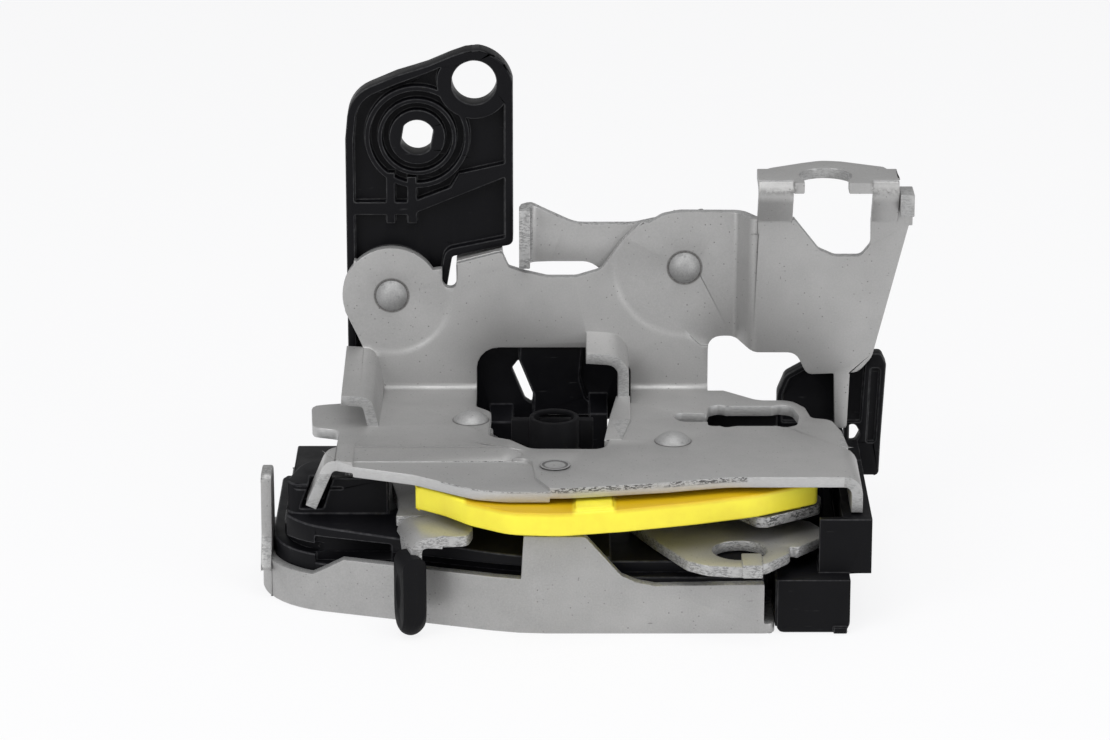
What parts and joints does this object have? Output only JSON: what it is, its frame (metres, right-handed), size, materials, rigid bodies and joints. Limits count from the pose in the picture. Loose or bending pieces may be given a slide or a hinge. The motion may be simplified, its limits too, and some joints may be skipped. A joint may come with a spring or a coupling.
{
  "type": "car door lock",
  "caption": "Car door lock: face plate, stamped lock plate with cable bracket, moulded latch housing, turning claw and pawl, hand levers and switch housing.",
  "frame": {"origin": "on the face plate's outer face, at its front edge, in line with the middle of the striker mouth", "axes": "+X along the face plate towards the switch housing, +Y towards the striker mouth, +Z away from the door face"},
  "size_m": [0.1467, 0.0966, 0.1147],
  "materials": {
    "face_steel": "grey plated, satin, with drawn scratches",
    "plate_steel": "grey plated, satin, sheared edges",
    "lever_steel": "bright plated, satin, sheared edges",
    "dark_steel": "dark plated, speckled edges",
    "claw_steel": "hardened steel, satin",
    "rivet_steel": "formed heads, satin",
    "spring_steel": "drawn wire",
    "black_plastic": "moulded, fine grain",
    "lever_plastic": "moulded, scuffed edges",
    "box_plastic": "moulded, fine grain",
    "switch_plastic": "moulded",
    "ivory_plastic": "moulded",
    "yellow_plastic": "moulded, smooth",
    "black_rubber": "matt",
    "contact_brass": "tin plated brass"
  },
  "bodies": {
    "lock_frame": {"face_plate": "face_steel", "lock_plate": "plate_steel", "lock_housing": "black_plastic", "housing_cover": "black_plastic", "claw_pivot": "rivet_steel", "pawl_pivot": "rivet_steel", "claw_sleeve": "rivet_steel", "pawl_sleeve": "rivet_steel", "release_rivet": "rivet_steel", "arm_rivet": "rivet_steel", "release_washer": "rivet_steel", "arm_washer": "rivet_steel", "lever_pin": "rivet_steel", "mouth_buffer": "black_rubber", "switch_housing": "box_plastic", "switch_cover": "box_plastic", "contact_pins": "contact_brass", "microswitch": "switch_plastic", "claw_spring": "spring_steel", "pawl_spring": "spring_steel", "handle_spring": "spring_steel", "inner_spring": "spring_steel", "release_spring": "spring_steel", "arm_spring": "spring_steel"},
    "claw_body": {"claw": "claw_steel", "claw_jacket": "black_plastic"},
    "pawl_body": {"pawl": "claw_steel", "pawl_jacket": "black_plastic"},
    "release_body": {"release_lever": "lever_plastic", "release_bush": "rivet_steel"},
    "arm_body": {"pull_arm": "lever_steel"},
    "lock_body": {"lock_lever": "yellow_plastic"},
    "link_body": {"link_lever": "dark_steel"},
    "handle_body": {"handle_lever": "lever_steel"},
    "inner_body": {"inner_lever": "lever_steel", "rod_clip": "black_rubber"},
    "plunger_body": {"switch_plunger": "ivory_plastic"}
  },
  "joints": [
    {"name": "claw_turn", "type": "hinge", "parent": "lock_frame", "child": "claw_body", "pos_m": [-0.019, 0.047, 0.007], "axis": [0, 0, -1], "range_deg": [0, 50], "stiffness_Nm_per_rad": 0.02, "springref_deg": -28.65},
    {"name": "pawl_turn", "type": "hinge", "parent": "lock_frame", "child": "pawl_body", "pos_m": [0.0263, 0.0323, 0.007], "axis": [0, 0, 1], "range_deg": [0, 12], "stiffness_Nm_per_rad": 0.02, "springref_deg": -28.65},
    {"name": "release_turn", "type": "hinge", "parent": "lock_frame", "child": "release_body", "pos_m": [-0.0375, 0.0767, 0.0556], "axis": [0, -1, 0], "range_deg": [0, 25], "stiffness_Nm_per_rad": 0.05, "springref_deg": -28.65},
    {"name": "arm_turn", "type": "hinge", "parent": "lock_frame", "child": "arm_body", "pos_m": [0.0297, 0.07495, 0.0623], "axis": [0, 1, 0], "range_deg": [0, 20], "stiffness_Nm_per_rad": 0.05, "springref_deg": -28.65},
    {"name": "lock_turn", "type": "hinge", "parent": "lock_frame", "child": "lock_body", "pos_m": [0, 0.0154, 0.027], "axis": [0, 0, 1], "range_deg": [0, 5]},
    {"name": "link_turn", "type": "hinge", "parent": "lock_frame", "child": "link_body", "pos_m": [0.0263, 0.0323, 0.0213], "axis": [0, 0, 1], "range_deg": [0, 7.5]},
    {"name": "plunger_slide", "type": "slide", "parent": "lock_frame", "child": "plunger_body", "axis": [0, 1, 0], "range_m": [0, 0.0036]},
    {"name": "handle_turn", "type": "hinge", "parent": "lock_frame", "child": "handle_body", "pos_m": [0.0263, 0.0323, 0.0168], "axis": [0, 0, -1], "range_deg": [0, 12], "stiffness_Nm_per_rad": 0.03, "springref_deg": -28.65},
    {"name": "inner_turn", "type": "hinge", "parent": "lock_frame", "child": "inner_body", "pos_m": [-0.019, 0.047, 0.021], "axis": [0, 0, 1], "range_deg": [0, 12], "stiffness_Nm_per_rad": 0.03, "springref_deg": -28.65}
  ],
  "couplings": [
    {"joint": "link_turn", "follows": "lock_turn", "ratio": 1.4675},
    {"joint": "plunger_slide", "follows": "lock_turn", "m_per_rad": 0.0399}
  ]
}
